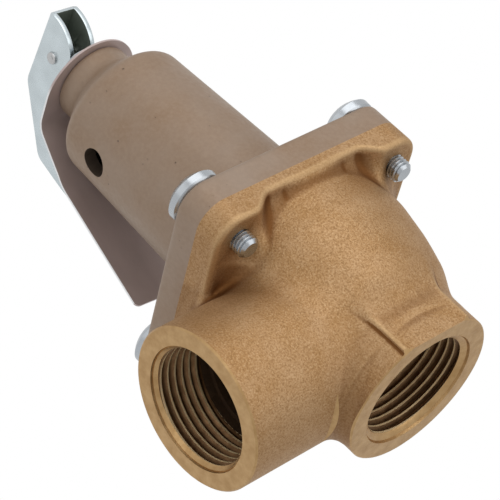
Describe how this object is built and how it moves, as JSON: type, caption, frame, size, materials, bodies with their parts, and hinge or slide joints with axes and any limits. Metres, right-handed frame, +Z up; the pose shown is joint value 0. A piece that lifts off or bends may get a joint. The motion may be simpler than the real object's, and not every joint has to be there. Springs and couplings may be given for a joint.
{
  "type": "pressure relief valve",
  "caption": "Angle-pattern spring-loaded pressure relief valve with threaded inlet and outlet, painted bonnet, nameplate and test lever.",
  "frame": {"origin": "centre of the inlet port's face", "axes": "+Z up along the spindle from the inlet, +X out of the outlet port, lever handle and nameplate towards -Y"},
  "size_m": [0.069, 0.0584, 0.1202],
  "materials": {
    "cast_bronze": "sand-cast",
    "bonnet_paint": "satin paint on a casting",
    "zinc_steel": "zinc plated",
    "nameplate_aluminium": "satin",
    "lever_steel": "zinc plated",
    "trim_brass": "machined",
    "bright_steel": "machined",
    "spring_steel": "drawn wire",
    "seat_rubber": "matte",
    "diaphragm_rubber": "matte",
    "gasket_fibre": "matte"
  },
  "bodies": {
    "casing": {"body": "cast_bronze", "seat_ring": "trim_brass", "seat_gasket": "gasket_fibre", "bonnet": "bonnet_paint", "bonnet_screws": "zinc_steel", "diaphragm": "diaphragm_rubber", "upper_spring_button": "bright_steel", "spring": "spring_steel", "adjusting_screw": "bright_steel", "lock_nut": "zinc_steel", "nameplate": "nameplate_aluminium"},
    "stem": {"stem": "bright_steel", "wing_guide": "trim_brass", "seat_disc": "seat_rubber", "disc_holder": "trim_brass", "lower_diaphragm_plate": "trim_brass", "upper_diaphragm_plate": "bright_steel", "diaphragm_nut": "bright_steel", "lower_spring_button": "bright_steel"},
    "lever": {"lever": "lever_steel", "lever_pin": "bright_steel"}
  },
  "joints": [
    {"name": "stem_lift", "type": "slide", "parent": "casing", "child": "stem", "axis": [0, 0, 1], "range_m": [0, 0.00375], "stiffness_N_per_m": 400, "springref_m": -0.004, "deforming": ["spring", "diaphragm"]},
    {"name": "lever_turn", "type": "hinge", "parent": "stem", "child": "lever", "pos_m": [0, 0, 0.1142], "axis": [-0.9945, -0.1045, 0], "range_deg": [0, 90]}
  ],
  "couplings": [
    {"joint": "lever_turn", "follows": "stem_lift", "rad_per_m": 418.8}
  ]
}
